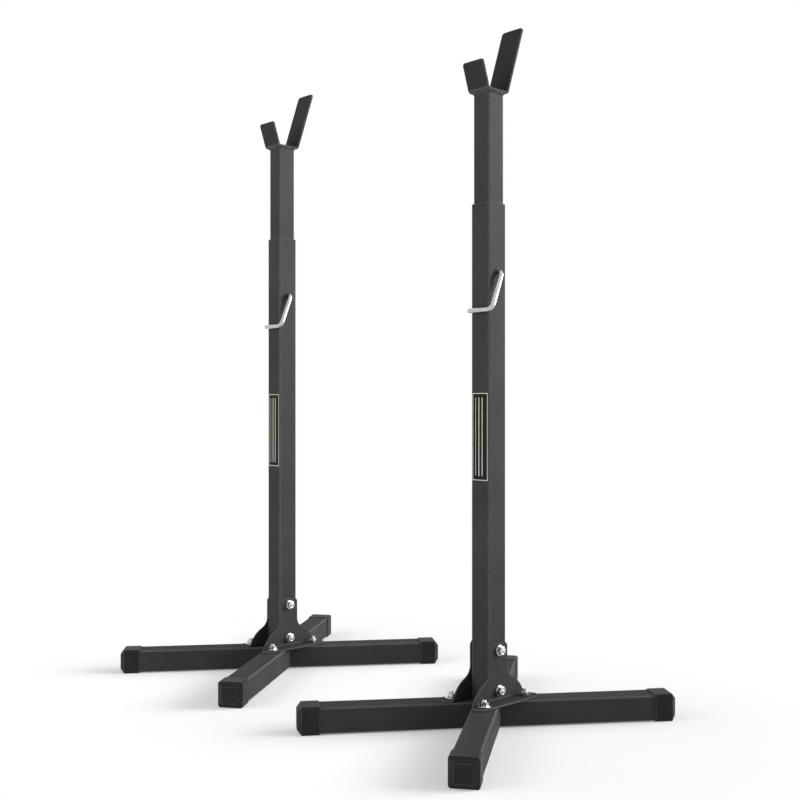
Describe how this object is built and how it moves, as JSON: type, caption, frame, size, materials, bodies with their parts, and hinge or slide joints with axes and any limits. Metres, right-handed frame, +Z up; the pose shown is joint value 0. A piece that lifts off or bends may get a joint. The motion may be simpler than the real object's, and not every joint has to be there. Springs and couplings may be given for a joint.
{
  "type": "squat stand pair",
  "caption": "Pair of free-standing squat stands with X-shaped bases, telescoping posts held by bent pins, and V saddles for a barbell.",
  "frame": {"origin": "on the floor, midway between the two posts' axes", "axes": "+X along the barbell towards the right stand, +Y to the back where the saddles' long arms are, +Z up"},
  "size_m": [0.9314, 0.516, 1.1305],
  "materials": {
    "powder_coat": "satin black powder coat",
    "cap_plastic": "moulded black plastic",
    "zinc_steel": "bright zinc plating",
    "pin_steel": "bright drawn steel rod"
  },
  "bodies": {
    "right_stand": {"right_long_leg": "powder_coat", "right_rear_leg": "powder_coat", "right_front_leg": "powder_coat", "right_outer_post": "powder_coat", "right_bracket_right": "powder_coat", "right_bracket_left": "powder_coat", "right_cap_rear_right": "cap_plastic", "right_foot_bolt_rear_right": "zinc_steel", "right_foot_nut_rear_right": "zinc_steel", "right_cap_front_left": "cap_plastic", "right_foot_bolt_front_left": "zinc_steel", "right_foot_nut_front_left": "zinc_steel", "right_cap_rear_left": "cap_plastic", "right_foot_bolt_rear_left": "zinc_steel", "right_foot_nut_rear_left": "zinc_steel", "right_cap_front_right": "cap_plastic", "right_foot_bolt_front_right": "zinc_steel", "right_foot_nut_front_right": "zinc_steel", "right_post_bolt_upper": "zinc_steel", "right_post_nut_upper": "zinc_steel", "right_post_washer_upper_right": "zinc_steel", "right_post_washer_upper_left": "zinc_steel", "right_post_bolt_lower": "zinc_steel", "right_post_nut_lower": "zinc_steel", "right_post_washer_lower_right": "zinc_steel", "right_post_washer_lower_left": "zinc_steel"},
    "right_mast": {"right_inner_post": "powder_coat", "right_bar_saddle": "powder_coat"},
    "right_pin": {"right_height_pin": "pin_steel"},
    "left_stand": {"left_long_leg": "powder_coat", "left_rear_leg": "powder_coat", "left_front_leg": "powder_coat", "left_outer_post": "powder_coat", "left_bracket_right": "powder_coat", "left_bracket_left": "powder_coat", "left_cap_rear_right": "cap_plastic", "left_foot_bolt_rear_right": "zinc_steel", "left_foot_nut_rear_right": "zinc_steel", "left_cap_front_left": "cap_plastic", "left_foot_bolt_front_left": "zinc_steel", "left_foot_nut_front_left": "zinc_steel", "left_cap_rear_left": "cap_plastic", "left_foot_bolt_rear_left": "zinc_steel", "left_foot_nut_rear_left": "zinc_steel", "left_cap_front_right": "cap_plastic", "left_foot_bolt_front_right": "zinc_steel", "left_foot_nut_front_right": "zinc_steel", "left_post_bolt_upper": "zinc_steel", "left_post_nut_upper": "zinc_steel", "left_post_washer_upper_right": "zinc_steel", "left_post_washer_upper_left": "zinc_steel", "left_post_bolt_lower": "zinc_steel", "left_post_nut_lower": "zinc_steel", "left_post_washer_lower_right": "zinc_steel", "left_post_washer_lower_left": "zinc_steel"},
    "left_mast": {"left_inner_post": "powder_coat", "left_bar_saddle": "powder_coat"},
    "left_pin": {"left_height_pin": "pin_steel"}
  },
  "joints": [
    {"name": "stand_spacing", "type": "slide", "parent": "right_stand", "child": "left_stand", "axis": [-1, 0, 0], "range_m": [-0.1, 0.56]},
    {"name": "right_height", "type": "slide", "parent": "right_stand", "child": "right_mast", "axis": [0, 0, 1], "range_m": [0, 0.48]},
    {"name": "right_pin_pull", "type": "slide", "parent": "right_stand", "child": "right_pin", "axis": [1, 0, 0], "range_m": [0, 0.06]},
    {"name": "left_height", "type": "slide", "parent": "left_stand", "child": "left_mast", "axis": [0, 0, 1], "range_m": [0, 0.48]},
    {"name": "left_pin_pull", "type": "slide", "parent": "left_stand", "child": "left_pin", "axis": [1, 0, 0], "range_m": [0, 0.06]}
  ]
}
